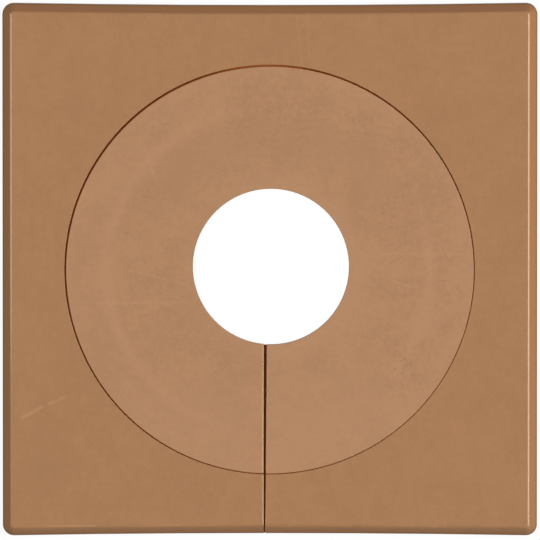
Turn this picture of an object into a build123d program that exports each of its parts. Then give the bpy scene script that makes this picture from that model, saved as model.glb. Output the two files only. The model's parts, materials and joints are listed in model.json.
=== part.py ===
from build123d import *
import math
import os

# Pipe rosette: a square cover frame, and a round disc with the pipe hole that turns in the frame.
# Both are moulded in one piece and slit from the inside to the edge, to spring open over a pipe.
# Millimetres. The frame's rim stands on z = 0, its face looks along +Z, and Z is the disc's axis.

# Square frame
PLATE_WIDTH = 144.0
PLATE_HEIGHT = 143.7
PLATE_DEPTH = 7.0
CORNER_RADIUS = 3.0
EDGE_BOW = 0.65  # how far the top and bottom edges draw in at mid-length
BEVEL_RUN = 2.25  # width of the bevel round the face, seen from the front
BEVEL_DROP = 3.2  # how far the bevel falls back from the face
FACE_EDGE_RADIUS = 0.9  # rounding where the bevel meets the face
FRAME_WALL = 2.0

# Round disc
DISC_RADIUS = 54.9
DISC_WALL = 2.0
PIPE_HOLE_RADIUS = 21.0
PIPE_HOLE_RISE = 0.95  # how far the pipe hole lies above the disc's axis
PIPE_HOLE_SHIFT = 0.28  # how far it lies to the right of that axis
HOLE_EDGE_BREAK = 0.12
COLLAR_INSET = 0.8  # how far the short tube behind the pipe hole stands back from its edge
COLLAR_WALL = 1.6
RIM_WALL = 2.0  # short tube behind the disc's edge
RIB_INSET = 12.6  # from the disc's edge to the middle of the ring rib behind it
RIB_WIDTH = 1.4

# Seat of the disc in the frame
SEAT_GAP = 0.34  # radial gap between the disc and the opening
DISC_DROP = 0.15  # how far the disc hangs below the middle of its opening
DISC_SHIFT = 0.11  # how far it lies to the right of that middle
FLANGE_GAP = 0.4  # radial gap round the flange
END_PLAY = 0.15  # between the disc's flange and what holds it, in front and behind
SEAM_EDGE_BREAK = 0.12  # bevel on the two edges along the gap
FLANGE_WIDTH = 3.8
FLANGE_THICKNESS = 1.4
SEAT_WALL = 1.8  # ring wall behind the face that carries the snap lips
LIP_REACH = 1.2
LIP_EDGE = 0.4  # height of a lip's blunt inner edge
LIP_SPAN = 16.0  # degrees
LIP_COUNT = 6

# Slits, below the pipe hole and a little left of the middle; each leans and narrows towards its outer end
DISC_SLIT_OFFSET_AT_HOLE = 1.25
DISC_SLIT_OFFSET_AT_EDGE = 1.46
DISC_SLIT_AT_HOLE = 0.72
DISC_SLIT_AT_EDGE = 0.5
FRAME_SLIT_OFFSET_AT_SEAT = 1.39
FRAME_SLIT_OFFSET_AT_EDGE = 1.5
FRAME_SLIT_AT_SEAT = 0.52
FRAME_SLIT_AT_EDGE = 0.28
SLIT_EDGE_RADIUS = 0.35  # rounding of the front edges along both slits

# Heights of what lies behind the face, from front to back
face_back = PLATE_DEPTH - FRAME_WALL
flange_top = face_back - END_PLAY
flange_back = flange_top - FLANGE_THICKNESS
lip_top = flange_back - END_PLAY
lip_back = lip_top - LIP_EDGE - LIP_REACH

# Radii of the seat, and the middles of the frame's opening and of the pipe hole
opening_radius = DISC_RADIUS + SEAT_GAP
flange_radius = DISC_RADIUS + FLANGE_WIDTH
seat_radius = flange_radius + FLANGE_GAP
opening_middle = (-DISC_SHIFT, DISC_DROP)
hole_middle = (PIPE_HOLE_SHIFT, PIPE_HOLE_RISE)


def round_block(radius, bottom, top, middle=(0, 0)):
    """A short upright cylinder."""
    return Pos(*middle, bottom) * extrude(Circle(radius), top - bottom)


def ring(outer_radius, inner_radius, bottom, top, middle=(0, 0)):
    """A flat ring or short tube about a vertical axis."""
    section = Circle(outer_radius) - Circle(inner_radius)
    return Pos(*middle, bottom) * extrude(section, top - bottom)


def plate_outline(width, height):
    """The frame's outline: straight sides, and top and bottom edges that draw in at mid-length."""
    side = width / 2
    corner = height / 2
    waist = corner - EDGE_BOW
    edges = [
        ThreePointArc((-side, corner), (0, waist), (side, corner)),
        Line((side, corner), (side, -corner)),
        ThreePointArc((side, -corner), (0, -waist), (-side, -corner)),
        Line((-side, -corner), (-side, corner)),
    ]
    return make_face(edges)


def bevelled_block(outline, height, bevel_run, bevel_drop):
    """A block on an outline, with a bevel round its top."""
    block = extrude(outline, height)
    top = block.faces().sort_by(Axis.Z)[-1]
    return chamfer(top.edges(), bevel_run, bevel_drop, reference=top)


def slit_section(offset, width):
    """Across a slit: straight walls, and front edges that are rounded."""
    wall = width / 2
    mouth = wall + SLIT_EDGE_RADIUS
    bend = PLATE_DEPTH - SLIT_EDGE_RADIUS
    above = PLATE_DEPTH + SLIT_EDGE_RADIUS
    edges = [
        Line((0, 0), (wall, 0)),
        Line((wall, 0), (wall, bend)),
        CenterArc((mouth, bend), SLIT_EDGE_RADIUS, 90, 90),
        Line((mouth, PLATE_DEPTH), (mouth, above)),
        Line((mouth, above), (0, above)),
        Line((0, above), (0, 0)),
    ]
    right_half = make_face(edges)
    return Pos(-offset, 0) * (right_half + mirror(right_half, Plane.YZ))


def slit(from_radius, to_radius, offset_from, offset_to, width_from, width_to):
    """A cut downwards from one radius to another, through the whole depth."""
    start = Plane.XZ.offset(from_radius) * slit_section(offset_from, width_from)
    end = Plane.XZ.offset(to_radius) * slit_section(offset_to, width_to)
    return loft([start, end], ruled=True)


def front_circle(piece, radius):
    """The foremost round edge of one radius."""
    circles = piece.edges().filter_by(GeomType.CIRCLE)
    return circles.filter_by(lambda edge: math.isclose(edge.radius, radius)).sort_by(Axis.Z)[-1]


def snap_lip():
    """One lip of the seat: flat where it holds the flange, sloped behind so that the disc snaps in."""
    inner_radius = seat_radius - LIP_REACH
    root_radius = seat_radius + SEAT_WALL / 2
    corners = [
        (root_radius, lip_top),
        (inner_radius, lip_top),
        (inner_radius, lip_top - LIP_EDGE),
        (seat_radius, lip_back),
        (root_radius, lip_back),
    ]
    section = Plane.XZ * make_face(Polyline(*corners, close=True))
    return Rot(0, 0, -LIP_SPAN / 2) * revolve(section, Axis.Z, LIP_SPAN)


def square_frame():
    """The bevelled frame: hollow behind, with the disc's opening, its seat and the frame's slit."""
    outline = plate_outline(PLATE_WIDTH, PLATE_HEIGHT)
    rounded_outline = fillet(outline.vertices(), CORNER_RADIUS)
    shell = bevelled_block(rounded_outline, PLATE_DEPTH, BEVEL_RUN, BEVEL_DROP)
    shell = fillet(shell.faces().sort_by(Axis.Z)[-1].edges(), FACE_EDGE_RADIUS)
    hollow_outline = plate_outline(PLATE_WIDTH - 2 * FRAME_WALL, PLATE_HEIGHT - 2 * FRAME_WALL)
    shell -= bevelled_block(hollow_outline, face_back, BEVEL_RUN / 2, BEVEL_DROP / 2)
    shell -= round_block(opening_radius, 0, PLATE_DEPTH, opening_middle)
    shell = chamfer(front_circle(shell, opening_radius), SEAM_EDGE_BREAK)
    shell += ring(seat_radius + SEAT_WALL, seat_radius, lip_back, face_back, opening_middle)
    for place in PolarLocations(0, LIP_COUNT):
        shell += Pos(*opening_middle) * place * snap_lip()
    return shell - slit(
        DISC_RADIUS,
        PLATE_HEIGHT / 2,
        FRAME_SLIT_OFFSET_AT_SEAT,
        FRAME_SLIT_OFFSET_AT_EDGE,
        FRAME_SLIT_AT_SEAT,
        FRAME_SLIT_AT_EDGE,
    )


def round_disc():
    """The disc: a flush face with the pipe hole, and a collar, a rib, a rim and a holding flange behind it."""
    web_back = PLATE_DEPTH - DISC_WALL
    collar_radius = PIPE_HOLE_RADIUS + COLLAR_INSET
    rib_radius = DISC_RADIUS - RIB_INSET
    disc = round_block(DISC_RADIUS, web_back, PLATE_DEPTH)
    disc += ring(collar_radius + COLLAR_WALL, collar_radius, flange_back, web_back, hole_middle)
    disc += ring(rib_radius + RIB_WIDTH / 2, rib_radius - RIB_WIDTH / 2, flange_back, web_back)
    disc += ring(DISC_RADIUS, DISC_RADIUS - RIM_WALL, flange_back, PLATE_DEPTH)
    disc += ring(flange_radius, DISC_RADIUS - RIM_WALL, flange_back, flange_top)
    disc -= round_block(PIPE_HOLE_RADIUS, web_back, PLATE_DEPTH, hole_middle)
    disc = chamfer(front_circle(disc, PIPE_HOLE_RADIUS), HOLE_EDGE_BREAK)
    disc = chamfer(front_circle(disc, DISC_RADIUS), SEAM_EDGE_BREAK)
    return disc - slit(
        PIPE_HOLE_RADIUS - 2 * PIPE_HOLE_RISE,
        seat_radius,
        DISC_SLIT_OFFSET_AT_HOLE,
        DISC_SLIT_OFFSET_AT_EDGE,
        DISC_SLIT_AT_HOLE,
        DISC_SLIT_AT_EDGE,
    )


os.makedirs("parts", exist_ok=True)
export_step(square_frame(), "parts/square_frame.step")
export_step(round_disc(), "parts/round_disc.step")
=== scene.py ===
import json
import math

import bpy
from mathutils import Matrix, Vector


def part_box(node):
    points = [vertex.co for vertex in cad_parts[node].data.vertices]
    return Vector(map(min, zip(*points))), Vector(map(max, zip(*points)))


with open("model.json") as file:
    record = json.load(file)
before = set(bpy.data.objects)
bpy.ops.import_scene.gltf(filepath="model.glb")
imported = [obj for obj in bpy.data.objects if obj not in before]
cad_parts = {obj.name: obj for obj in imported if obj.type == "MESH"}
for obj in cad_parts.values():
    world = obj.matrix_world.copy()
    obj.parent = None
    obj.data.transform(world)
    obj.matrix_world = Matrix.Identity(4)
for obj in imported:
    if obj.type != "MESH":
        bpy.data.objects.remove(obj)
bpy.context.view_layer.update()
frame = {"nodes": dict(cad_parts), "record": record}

# The pipe rosette lies on its back: its face looks along +Z and its slit runs towards -Y. Metres.
MM = 0.001

plate_low, plate_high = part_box("square_frame")
half_side = plate_high.x
pipe_hole = next(mount for mount in frame["record"]["mounts"] if mount["name"] == "pipe_hole")
hole_middle = Vector((*pipe_hole["pos_m"][:2], 0))
hole_radius = pipe_hole["dims"]["r_mm"] * MM
DISC_RADIUS = 54.9 * MM
SLIT_MIDDLE = -1.4 * MM
SIDE_WALL = 3.8 * MM  # height of the frame's upright sides, under the bevels

# The photograph: 540 pixels square, with the plate 534.3 pixels wide and its middle a little off centre
PHOTO_PIXELS = 540
PLATE_PIXELS = 534.3
PLATE_MIDDLE_PIXEL = (269.9, 269.1)

# The camera looks from a little above the middle, so the upper bevel shows wider than the lower
CAMERA_TILT = math.radians(3.6)
TOWARDS_CAMERA = Vector((0, math.sin(CAMERA_TILT), math.cos(CAMERA_TILT)))


class Graph:
    """A node tree, with short calls for the nodes that the surfaces here are made of."""

    def __init__(self, owner, output="ShaderNodeOutputMaterial"):
        owner.use_nodes = True
        self.owner = owner
        self.tree = owner.node_tree
        self.tree.nodes.clear()
        self.output = self.add(output)

    def add(self, kind, **settings):
        node = self.tree.nodes.new(kind)
        for name, value in settings.items():
            setattr(node, name, value)
        return node

    def put(self, socket, value):
        """Sets a socket to a number or colour, or links another node's output to it."""
        if isinstance(value, bpy.types.NodeSocket):
            self.tree.links.new(value, socket)
        else:
            socket.default_value = value

    def math(self, operation, first, second=0.0):
        node = self.add("ShaderNodeMath", operation=operation)
        self.put(node.inputs[0], first)
        self.put(node.inputs[1], second)
        return node.outputs[0]

    def times(self, first, second):
        return self.math("MULTIPLY", first, second)

    def unsigned(self, value):
        return self.math("ABSOLUTE", value)

    def inverse(self, share):
        """1 where a share is 0, and 0 where it is 1."""
        return self.math("SUBTRACT", 1.0, share)

    def greatest(self, values):
        result = values[0]
        for value in values[1:]:
            result = self.math("MAXIMUM", result, value)
        return result

    def between(self, value, low, high, to_low=0.0, to_high=1.0):
        """A smooth step of value, from to_low at low to to_high at high."""
        node = self.add("ShaderNodeMapRange", interpolation_type="SMOOTHSTEP")
        self.put(node.inputs["Value"], value)
        self.put(node.inputs["From Min"], low)
        self.put(node.inputs["From Max"], high)
        self.put(node.inputs["To Min"], to_low)
        self.put(node.inputs["To Max"], to_high)
        return node.outputs["Result"]

    def within(self, value, rise, fall):
        """1 between two ranges of value, with a smooth step up over the first and down over the second."""
        return self.times(self.between(value, *rise), self.between(value, fall[1], fall[0]))

    def mix(self, share, first, second):
        """A colour between two others."""
        node = self.add("ShaderNodeMix", data_type="RGBA")
        self.put(node.inputs[0], share)
        self.put(node.inputs[6], first)
        self.put(node.inputs[7], second)
        return node.outputs[2]

    def blend(self, share, first, second):
        """A shader between two others."""
        node = self.add("ShaderNodeMixShader")
        self.put(node.inputs[0], share)
        self.put(node.inputs[1], first.outputs[0])
        self.put(node.inputs[2], second.outputs[0])
        return node

    def surface(self, shader):
        self.put(self.output.inputs["Surface"], shader.outputs[0])

    def vector(self, operation, first, second=(0, 0, 0), output="Vector"):
        node = self.add("ShaderNodeVectorMath", operation=operation)
        self.put(node.inputs[0], first)
        self.put(node.inputs[1], second)
        return node.outputs[output]

    def dot(self, first, second):
        return self.vector("DOT_PRODUCT", first, second, "Value")

    def length(self, vector):
        return self.vector("LENGTH", vector, output="Value")

    def part(self, vector, axis):
        """One of the three parts of a vector."""
        node = self.add("ShaderNodeSeparateXYZ")
        self.put(node.inputs[0], vector)
        return node.outputs[axis]

    def place(self):
        """The point on the surface, in the piece's own frame."""
        return self.add("ShaderNodeTexCoord").outputs["Object"]

    def normal(self):
        """The surface's direction, in the piece's own frame."""
        return self.add("ShaderNodeTexCoord").outputs["Normal"]

    def flattened(self, place):
        """A place seen along the pipe, without its height."""
        return self.vector("MULTIPLY", place, (1, 1, 0))

    def noise(self, place, size, detail=2.0, roughness=0.5):
        """Cloudy noise from 0 to 1, with blotches of about the given size and smaller ones in them."""
        node = self.add("ShaderNodeTexNoise")
        self.put(node.inputs["Vector"], place)
        node.inputs["Scale"].default_value = 1 / size
        node.inputs["Detail"].default_value = detail
        node.inputs["Roughness"].default_value = roughness
        return node.outputs["Fac"]

    def stroke(self, flat, start, end, width):
        """1 on a straight line between two points in millimetres, fading to 0 at its width."""
        first = Vector((*start, 0)) * MM
        run = Vector((*end, 0)) * MM - first
        offset = self.vector("SUBTRACT", flat, first)
        share = self.dot(offset, run / run.length_squared)
        share = self.math("MINIMUM", self.math("MAXIMUM", share, 0.0), 1.0)
        along = self.add("ShaderNodeVectorMath", operation="SCALE")
        self.put(along.inputs[0], run)
        self.put(along.inputs["Scale"], share)
        away = self.length(self.vector("SUBTRACT", offset, along.outputs[0]))
        return self.between(away, width * MM, 0.2 * width * MM)

    def patch(self, flat, middle, reach):
        """1 in the middle of an oval, fading to 0 at its edge; all in millimetres."""
        offset = self.vector("SUBTRACT", flat, Vector((*middle, 0)) * MM)
        scaled = self.vector("MULTIPLY", offset, (1 / (reach[0] * MM), 1 / (reach[1] * MM), 0))
        return self.between(self.length(scaled), 1.0, 0.3)

    def facing(self, flat, degrees, half_span, blur):
        """1 where the direction from the axis lies within half_span of an angle."""
        turn = math.radians(degrees)
        ahead = self.vector("NORMALIZE", flat)
        near = self.dot(ahead, (math.cos(turn), math.sin(turn), 0))
        limit = math.cos(math.radians(half_span))
        return self.between(near, limit - blur, limit + blur)

    def band(self, flat, radius, width, degrees, half_span):
        """1 on an arc about the axis, fading to 0 at its width in millimetres and at its ends."""
        away = self.unsigned(self.math("SUBTRACT", self.length(flat), radius * MM))
        across = self.between(away, width * MM, 0)
        return self.times(across, self.facing(flat, degrees, half_span, 0.12))

    def bumped(self, height, distance):
        """A normal shaped by a small relief."""
        node = self.add("ShaderNodeBump")
        node.inputs["Strength"].default_value = 0.5
        node.inputs["Distance"].default_value = distance
        self.put(node.inputs["Height"], height)
        return node.outputs[0]

    def seen(self):
        """1 for what the camera sees, straight or in a reflection or through something clear."""
        path = self.add("ShaderNodeLightPath")
        kinds = ("Is Camera Ray", "Is Glossy Ray", "Is Transmission Ray")
        return self.greatest([path.outputs[kind] for kind in kinds])


# Plastic of both pieces
SHINE_TINT = (1, 0.84, 0.68, 1)
WORN_TONE = (1.09, 1.105, 1.14)  # worn places are paler and greyer
SCRATCH_TONE = (1.15, 1.18, 1.25)
# Painted light and shade in the gaps: the walls are coloured bright reddish orange for light that passes
# through the plastic, and the flange at the bottom is darker and redder, painted shade with reddish light
GAP_WALL_PAINTED_GLOW = (0.72, 0.22, 0.045, 1)
GAP_GROUND_PAINTED_SHADE = (0.4, 0.13, 0.03, 1)  # the flange at the bottom of the gap

# The frame's plastic is satin, and rubbed smoother on the rounding along its left and right sides
FRAME_COLOUR = (0.408, 0.21, 0.0985)
FRAME_MOTTLE = 0.045
FRAME_ROUGHNESS = 0.36
FRAME_GRAIN = (0.6 * MM, 0.004 * MM)  # size and height
SIDE_BEVEL_SHADE_TONE = (0.91, 0.85, 0.78)  # painted shade: the bevels are coloured deeper than the face
END_BEVEL_SHADE_TONE = (0.85, 0.775, 0.725)  # painted shade, deeper still on the upper and lower ones
PAINTED_SIDE_SHADE = 0.6  # painted shade: the upright sides under the bevels and the foot of the bevels are coloured darker
PAINTED_SIDE_SHADE_STRENGTH = 0.8
FLAT_SHINE = 0.05
RIGHT_POLISH = 0.65
LEFT_POLISH = (0.35, 1.15)  # in the lower and in the upper half
FRAME_SCRATCH_WIDTH = 0.8
FRAME_SCRATCHES = [
    ((-66.7, -39.7), (-61.5, -36.9)),
    ((-59.4, -36.0), (-55.2, -34.2)),
]
FRAME_PALE_STRENGTH = 0.4
FLOW_LINE_WIDTH = 0.45
FRAME_FLOW_LINES = [
    ((7.2, 68.0), (8.6, 56.0)),
    ((9.9, 68.2), (10.6, 57.5)),
]
FRAME_PALE_PATCHES = [
    ((-51.3, -46.1), (2.0, 5.6)),
    ((49.4, 59.5), (9.0, 1.1)),
    ((61.2, 26.5), (0.45, 0.45)),
    ((50.7, 26.5), (0.45, 0.45)),
]

# The disc's plastic is duller, mottled and worn: fine scratches, bands left by turning, dark specks
DISC_COLOUR = (0.444, 0.236, 0.122)
DISC_MOTTLE = 0.07
DISC_ROUGHNESS = 0.45
DISC_GRAIN = (0.5 * MM, 0.006 * MM)
RING_SHADE = 0.96
RING_STRENGTH = 0.5
DISC_SCRATCH_WIDTH = 0.45
DISC_SCRATCH_STRENGTH = 0.5
DISC_SCRATCHES = [
    ((-46.4, -8.9), (-22.0, -8.6)),
    ((-38.0, 0.1), (-23.0, -3.7)),
    ((-34.8, 35.4), (-30.5, 23.8)),
    ((-15.9, 26.2), (-11.0, 24.3)),
    ((29.4, 4.4), (53.4, 4.4)),
    ((32.1, -2.4), (39.9, -5.1)),
]
DISC_BANDS = [  # radius, width, direction of its middle and half its span in degrees
    (44.0, 3.2, 190, 70),
    (44.2, 2.4, 125, 14),
    (43.2, 2.8, 345, 32),
]
DISC_PALE_STRENGTH = 0.6
DISC_PALE_PATCHES = [
    ((42.6, -12.9), (4.8, 7.0)),
    ((1.3, -41.8), (2.4, 2.2)),
    ((-18.3, -44.5), (2.6, 4.0)),
]
SPECK_SHADE = 0.86
SPECK_STRENGTH = 0.7
DISC_SPECKLED_PATCHES = [
    ((-29.6, 37.8), (5.0, 5.5)),
    ((0.0, 38.5), (20.0, 13.0)),
    ((22.4, 38.4), (8.0, 8.0)),
    ((34.0, 18.1), (10.0, 13.0)),
    ((-31.5, 20.0), (5.5, 6.5)),
    ((35.6, -27.2), (8.0, 11.0)),
]
# A dark spot at the disc's edge
DISC_EDGE_SPOT = ((6.3, 54.2), (0.9, 0.6))


def toned(colour, tone):
    """A colour with each channel changed by a factor of its own."""
    return [channel * factor for channel, factor in zip(colour, tone)] + [1]


def tinted(colour, factor):
    """A colour made lighter or darker."""
    return toned(colour, (factor, factor, factor))


def scratched(graph, flat, lines, width):
    """Straight strokes, from 0 to 1."""
    return graph.greatest([graph.stroke(flat, start, end, width) for start, end in lines])


def patched(graph, flat, patches):
    """Oval patches, from 0 to 1."""
    return graph.greatest([graph.patch(flat, middle, reach) for middle, reach in patches])


def broken(graph, place):
    """Noise that breaks pale marks up, from 0.3 to 1."""
    return graph.between(graph.noise(place, 1.5 * MM, 3.0), 0.3, 0.6, 0.3, 1.0)


def mottled(graph, place, colour, depth):
    """A colour that is clouded on a large and a small scale, by up to depth to either side."""
    clouds = graph.noise(place, 16 * MM, 3.0, 0.9)
    grain = graph.noise(place, 1.8 * MM, 3.0, 0.95)
    share = graph.between(graph.math("ADD", clouds, grain), 0.75, 1.25)
    return graph.mix(share, tinted(colour, 1 - depth), tinted(colour, 1 + depth))


def painted_gap_light_mask(graph, place, normal, near_seat):
    """1 where reddish light and shade are painted: on what bounds the gap round the disc, down to the
    flange, and on the upper walls of the slits.
    """
    depth = graph.math("SUBTRACT", plate_high.z, graph.part(place, "Z"))
    down_to_flange = graph.within(depth, (0.02 * MM, 0.25 * MM), (2.3 * MM, 2.6 * MM))
    seat_wall = graph.times(near_seat, down_to_flange)
    from_slit = graph.unsigned(graph.math("SUBTRACT", graph.part(place, "X"), SLIT_MIDDLE))
    upright = graph.between(graph.unsigned(graph.part(normal, "X")), 0.7, 0.9)
    slit_wall = graph.times(graph.between(from_slit, 1.0 * MM, 0.8 * MM), upright)
    upper_part = graph.within(depth, (0.25 * MM, 0.45 * MM), (1.2 * MM, 1.8 * MM))
    return graph.greatest([seat_wall, graph.times(slit_wall, upper_part)])


def plastic(graph, place, colour, shine, roughness, grain):
    """Ends a material as plastic with a warm shine and a fine grain."""
    grain_size, grain_height = grain
    shader = graph.add("ShaderNodeBsdfPrincipled")
    shader.inputs["Roughness"].default_value = roughness
    shader.inputs["Specular Tint"].default_value = SHINE_TINT
    graph.put(shader.inputs["Specular IOR Level"], shine)
    graph.put(shader.inputs["Base Color"], colour)
    graph.put(shader.inputs["Normal"], graph.bumped(graph.noise(place, grain_size), grain_height))
    graph.surface(shader)
    return graph.owner


def frame_face(graph, place, flat):
    """Colour of the frame's face: mottled, with pale marks."""
    colour = mottled(graph, place, FRAME_COLOUR, FRAME_MOTTLE)
    scratches = scratched(graph, flat, FRAME_SCRATCHES, FRAME_SCRATCH_WIDTH)
    scratches = graph.times(scratches, broken(graph, place))
    colour = graph.mix(scratches, colour, toned(FRAME_COLOUR, SCRATCH_TONE))
    flow_lines = scratched(graph, flat, FRAME_FLOW_LINES, FLOW_LINE_WIDTH)
    pale = graph.greatest([flow_lines, patched(graph, flat, FRAME_PALE_PATCHES)])
    return graph.mix(graph.times(pale, FRAME_PALE_STRENGTH), colour, toned(FRAME_COLOUR, WORN_TONE))


def leaning_sideways(graph, normal):
    """1 on what leans to the left or right, and 0 on what leans up or down the plate."""
    across = graph.unsigned(graph.part(normal, "X"))
    along = graph.unsigned(graph.part(normal, "Y"))
    return graph.between(graph.math("SUBTRACT", across, along), 0.0, 0.15)


def frame_sides(graph, place, normal, colour):
    """Adds painted shade: deeper bevels, the lower one fading out towards its top, and darker upright sides;
    the back stays plain.
    """
    height = graph.part(place, "Z")
    lean = graph.part(normal, "Z")
    outside = graph.between(lean, -0.5, -0.2)
    # Painted light: the lower bevel's shade fades out towards its top, standing in for the softer shading of
    # its rounder edge
    lower = graph.between(graph.part(normal, "Y"), -0.3, -0.6)
    fading = graph.times(lower, graph.between(height, SIDE_WALL + 0.6 * MM, SIDE_WALL + 2.8 * MM))
    bevel = graph.times(graph.between(lean, 0.7, 0.6), graph.inverse(fading))
    side_bevel_shade = toned(FRAME_COLOUR, SIDE_BEVEL_SHADE_TONE)
    end_bevel_shade = toned(FRAME_COLOUR, END_BEVEL_SHADE_TONE)
    bevel_shade_colour = graph.mix(leaning_sideways(graph, normal), end_bevel_shade, side_bevel_shade)
    colour = graph.mix(graph.times(bevel, outside), colour, bevel_shade_colour)
    # Painted shade at the foot of the bevels and on the upright sides
    low = graph.times(graph.between(height, SIDE_WALL + 0.9 * MM, SIDE_WALL + 0.2 * MM), outside)
    return graph.mix(graph.times(low, PAINTED_SIDE_SHADE_STRENGTH), colour, tinted(FRAME_COLOUR, PAINTED_SIDE_SHADE))


def frame_shine(graph, place, normal):
    """Little on the flats, more on the rounding between the face and the bevels at the left and right."""
    rounding = graph.within(graph.part(normal, "Z"), (0.62, 0.76), (0.97, 0.995))
    rounding = graph.times(rounding, leaning_sideways(graph, normal))
    left_polish = graph.between(graph.part(place, "Y"), -42 * MM, 5 * MM, *LEFT_POLISH)
    on_left = graph.between(graph.part(place, "X"), 0.0, -half_side)
    polish = graph.between(on_left, 0.0, 1.0, RIGHT_POLISH, left_polish)
    return graph.math("ADD", graph.times(rounding, polish), FLAT_SHINE)


def frame_plastic():
    graph = Graph(bpy.data.materials.new("frame_plastic"))
    place = graph.place()
    flat = graph.flattened(place)
    normal = graph.normal()
    colour = frame_sides(graph, place, normal, frame_face(graph, place, flat))
    near_seat = graph.between(graph.length(flat), DISC_RADIUS + 1.3 * MM, DISC_RADIUS + 0.8 * MM)
    # Painted light: the wall round the seat and the slits' upper walls take the bright reddish gap colour
    colour = graph.mix(painted_gap_light_mask(graph, place, normal, near_seat), colour, GAP_WALL_PAINTED_GLOW)
    shine = frame_shine(graph, place, normal)
    return plastic(graph, place, colour, shine, FRAME_ROUGHNESS, FRAME_GRAIN)


def disc_wear(graph, place, flat):
    """How worn the disc is: round the hole, at the left, low down, along the rim and on the bands."""
    from_axis = graph.length(flat)
    from_hole = graph.length(graph.vector("SUBTRACT", flat, hole_middle))
    lip = graph.between(from_hole, hole_radius + 7 * MM, hole_radius + 1 * MM)
    lip = graph.times(lip, graph.between(graph.part(place, "X"), -20 * MM, 15 * MM, 0.45, 1.0))
    left = graph.times(graph.between(from_axis, 40.5 * MM, 44 * MM), graph.facing(flat, 195, 75, 0.15))
    low_down = graph.between(graph.part(place, "Y"), -18 * MM, -40 * MM)
    rim = graph.between(from_axis, 50.5 * MM, 54 * MM)
    worn = [(lip, 0.85), (left, 0.3), (low_down, 0.6), (rim, 0.4)]
    worn += [(graph.band(flat, *numbers), 1.0) for numbers in DISC_BANDS]
    worn = graph.greatest([graph.times(where, share) for where, share in worn])
    streaky = graph.noise(graph.vector("MULTIPLY", place, (0.35, 1, 1)), 3.5 * MM, 4.0, 0.7)
    return graph.times(worn, graph.between(streaky, 0.3, 0.7, 0.6, 1.0))


def disc_specks(graph, place, flat):
    """Soft dark specks, thickest in some patches, and a dark spot at the disc's edge."""
    specks = graph.between(graph.noise(place, 1.3 * MM, 3.0, 0.7), 0.5, 0.68)
    thick = graph.between(patched(graph, flat, DISC_SPECKLED_PATCHES), 0.0, 1.0, 0.3, 1.0)
    return graph.greatest([graph.times(specks, thick), graph.patch(flat, *DISC_EDGE_SPOT)])


def disc_face(graph, place, flat):
    """Colour of the disc's face: mottled, worn, scratched and specked."""
    colour = mottled(graph, place, DISC_COLOUR, DISC_MOTTLE)

    # A little darker on a ring across the upper half
    ring = graph.within(graph.length(flat), (28 * MM, 35 * MM), (40 * MM, 44 * MM))
    ring = graph.times(ring, graph.facing(flat, 90, 70, 0.2))
    colour = graph.mix(graph.times(ring, RING_STRENGTH), colour, tinted(DISC_COLOUR, RING_SHADE))

    # Paler where it is worn, blotched or scratched
    worn_colour = toned(DISC_COLOUR, WORN_TONE)
    colour = graph.mix(disc_wear(graph, place, flat), colour, worn_colour)
    breaks = broken(graph, place)
    blotches = graph.times(patched(graph, flat, DISC_PALE_PATCHES), breaks)
    colour = graph.mix(graph.times(blotches, DISC_PALE_STRENGTH), colour, worn_colour)
    scratches = graph.times(scratched(graph, flat, DISC_SCRATCHES, DISC_SCRATCH_WIDTH), breaks)
    scratches = graph.times(scratches, DISC_SCRATCH_STRENGTH)
    colour = graph.mix(scratches, colour, toned(DISC_COLOUR, SCRATCH_TONE))

    specks = graph.times(disc_specks(graph, place, flat), SPECK_STRENGTH)
    return graph.mix(specks, colour, tinted(DISC_COLOUR, SPECK_SHADE))


def disc_plastic():
    graph = Graph(bpy.data.materials.new("disc_plastic"))
    place = graph.place()
    flat = graph.flattened(place)
    normal = graph.normal()
    lean = graph.part(normal, "Z")

    # Dull inside the gaps, with painted reddish light on the walls and painted shade on the flange below
    near_seat = graph.between(graph.length(flat), DISC_RADIUS - 0.9 * MM, DISC_RADIUS - 0.3 * MM)
    inside = painted_gap_light_mask(graph, place, normal, near_seat)
    painted_gap_colour = graph.mix(graph.between(lean, 0.5, 0.9), GAP_WALL_PAINTED_GLOW, GAP_GROUND_PAINTED_SHADE)
    colour = graph.mix(inside, disc_face(graph, place, flat), painted_gap_colour)

    # The rounding along the slit shines a little
    rounding = graph.within(lean, (0.5, 0.7), (0.97, 0.995))
    shine = graph.times(graph.between(rounding, 0.0, 1.0, 0.1, 0.6), graph.inverse(inside))
    return plastic(graph, place, colour, shine, DISC_ROUGHNESS, DISC_GRAIN)


def dress(node, material):
    piece = frame["nodes"][node]
    piece.data.materials.clear()
    piece.data.materials.append(material)


dress("square_frame", frame_plastic())
dress("round_disc", disc_plastic())


# Stage
FLOOR_SIDE = 24.0
FLOOR_COLOUR = (0.7, 0.7, 0.7, 1)
SHADOW_COLOUR = (0.97, 0.97, 0.97, 1)
UNDER_PLATE_PAINTED_LIGHT = (0.42, 0.115, 0.024, 1)  # painted light: under the plate the floor is coloured brown, for the brown light from the plastic that shows in the slits
HOLE_ON_FLOOR = hole_radius + 0.45 * MM  # radius of the floor that shows through the pipe hole, aslant too


def open_floor(graph, in_hole):
    """1 on the floor that shows, from a little inside the plate's outline outwards and in the pipe hole."""
    place = graph.place()
    across = graph.unsigned(graph.part(place, "X"))
    along = graph.part(place, "Y")
    beside = graph.between(across, half_side - 1.0 * MM, half_side - 0.8 * MM)
    above = graph.between(along, plate_high.y - 0.9 * MM, plate_high.y - 0.7 * MM)
    below = graph.between(along, plate_low.y + 0.5 * MM, plate_low.y + 0.35 * MM)
    return graph.greatest([beside, above, below, in_hole])


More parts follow.
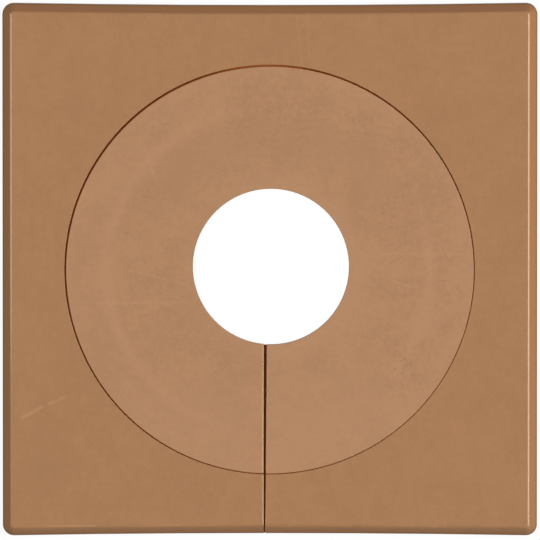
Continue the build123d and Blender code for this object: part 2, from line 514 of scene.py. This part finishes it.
def floor_material():
    """Pale floor that the camera sees white, but for a faint shadow beside the plate."""
    graph = Graph(bpy.data.materials.new("floor_white"))

    # The pipe hole turns with the disc
    in_disc = graph.add("ShaderNodeTexCoord", object=frame["nodes"]["round_disc"]).outputs["Object"]
    from_hole = graph.length(graph.flattened(graph.vector("SUBTRACT", in_disc, hole_middle)))
    in_hole = graph.between(from_hole, HOLE_ON_FLOOR + 0.1 * MM, HOLE_ON_FLOOR)

    showing = open_floor(graph, in_hole)
    shade = graph.add("ShaderNodeBsdfDiffuse")
    # Painted light: brown under the plate, where the floor shows through the slits
    graph.put(shade.inputs["Color"], graph.mix(showing, UNDER_PLATE_PAINTED_LIGHT, FLOOR_COLOUR))
    catcher = graph.add("ShaderNodeBsdfDiffuse")
    catcher.inputs["Color"].default_value = SHADOW_COLOUR
    whiteness = graph.between(in_hole, 0.0, 1.0, 0.9, 1.0)
    white = graph.blend(whiteness, catcher, graph.add("ShaderNodeEmission"))
    graph.surface(graph.blend(graph.times(graph.seen(), showing), shade, white))
    return graph.owner


bpy.ops.mesh.primitive_plane_add(size=FLOOR_SIDE, location=(0, 0, plate_low.z))
floor = bpy.context.object
floor.name = "floor"
floor.data.materials.append(floor_material())


# Lamps: one on either side, standing a little above the plate's middle, and a weak one at the camera
LAMP_DISTANCE = 5.5
LAMP_ELEVATION = math.radians(42)
LAMP_RISE = 0.04
FILL_STRENGTH = 0.02


def softbox(name, direction, width, height, strength):
    """A soft lamp that looks at the plate, and whose light there doesn't depend on its distance."""
    data = bpy.data.lights.new(name, "AREA")
    data.shape = "RECTANGLE"
    data.size = width
    data.size_y = height
    data.energy = strength * (math.pi * LAMP_DISTANCE) ** 2
    lamp = bpy.data.objects.new(name, data)
    lamp.location = direction.normalized() * LAMP_DISTANCE
    lamp.rotation_mode = "QUATERNION"
    lamp.rotation_quaternion = direction.to_track_quat("Z", "Y")
    lamp.visible_camera = False
    bpy.context.scene.collection.objects.link(lamp)


to_right = Vector((math.cos(LAMP_ELEVATION), LAMP_RISE, math.sin(LAMP_ELEVATION)))
to_left = to_right * Vector((-1, 1, 1))
softbox("right_softbox", to_right, width=1.375, height=3.25, strength=0.915)
softbox("left_softbox", to_left, width=3.75, height=5.0, strength=0.4)
softbox("front_softbox", TOWARDS_CAMERA, width=0.5, height=0.5, strength=0.13)


def studio():
    """Little light from all round, and white for what the camera sees."""
    graph = Graph(bpy.data.worlds.new("studio"), "ShaderNodeOutputWorld")
    fill = graph.add("ShaderNodeBackground")
    fill.inputs["Color"].default_value = (1, 1, 1, 1)
    fill.inputs["Strength"].default_value = FILL_STRENGTH
    white = graph.add("ShaderNodeBackground")
    white.inputs["Color"].default_value = (1, 1, 1, 1)
    graph.surface(graph.blend(graph.seen(), fill, white))
    return graph.owner


bpy.context.scene.world = studio()

# Camera: far off, with a long lens
camera_data = bpy.data.cameras.new("camera")
camera_data.lens = 1000
camera_data.sensor_width = 36
pixel = 2 * half_side / PLATE_PIXELS
distance = pixel * PHOTO_PIXELS * camera_data.lens / camera_data.sensor_width
right = Vector((1, 0, 0))
up = Vector((0, math.cos(CAMERA_TILT), -math.sin(CAMERA_TILT)))
target = Vector((0, 0, SIDE_WALL / 2))
target += right * (PHOTO_PIXELS / 2 - PLATE_MIDDLE_PIXEL[0]) * pixel
target += up * (PLATE_MIDDLE_PIXEL[1] - PHOTO_PIXELS / 2) * pixel
camera = bpy.data.objects.new("camera", camera_data)
camera.location = target + TOWARDS_CAMERA * distance
camera.rotation_euler = (-CAMERA_TILT, 0, 0)
bpy.context.scene.collection.objects.link(camera)
bpy.context.scene.camera = camera
bpy.context.scene.view_settings.view_transform = "Standard"
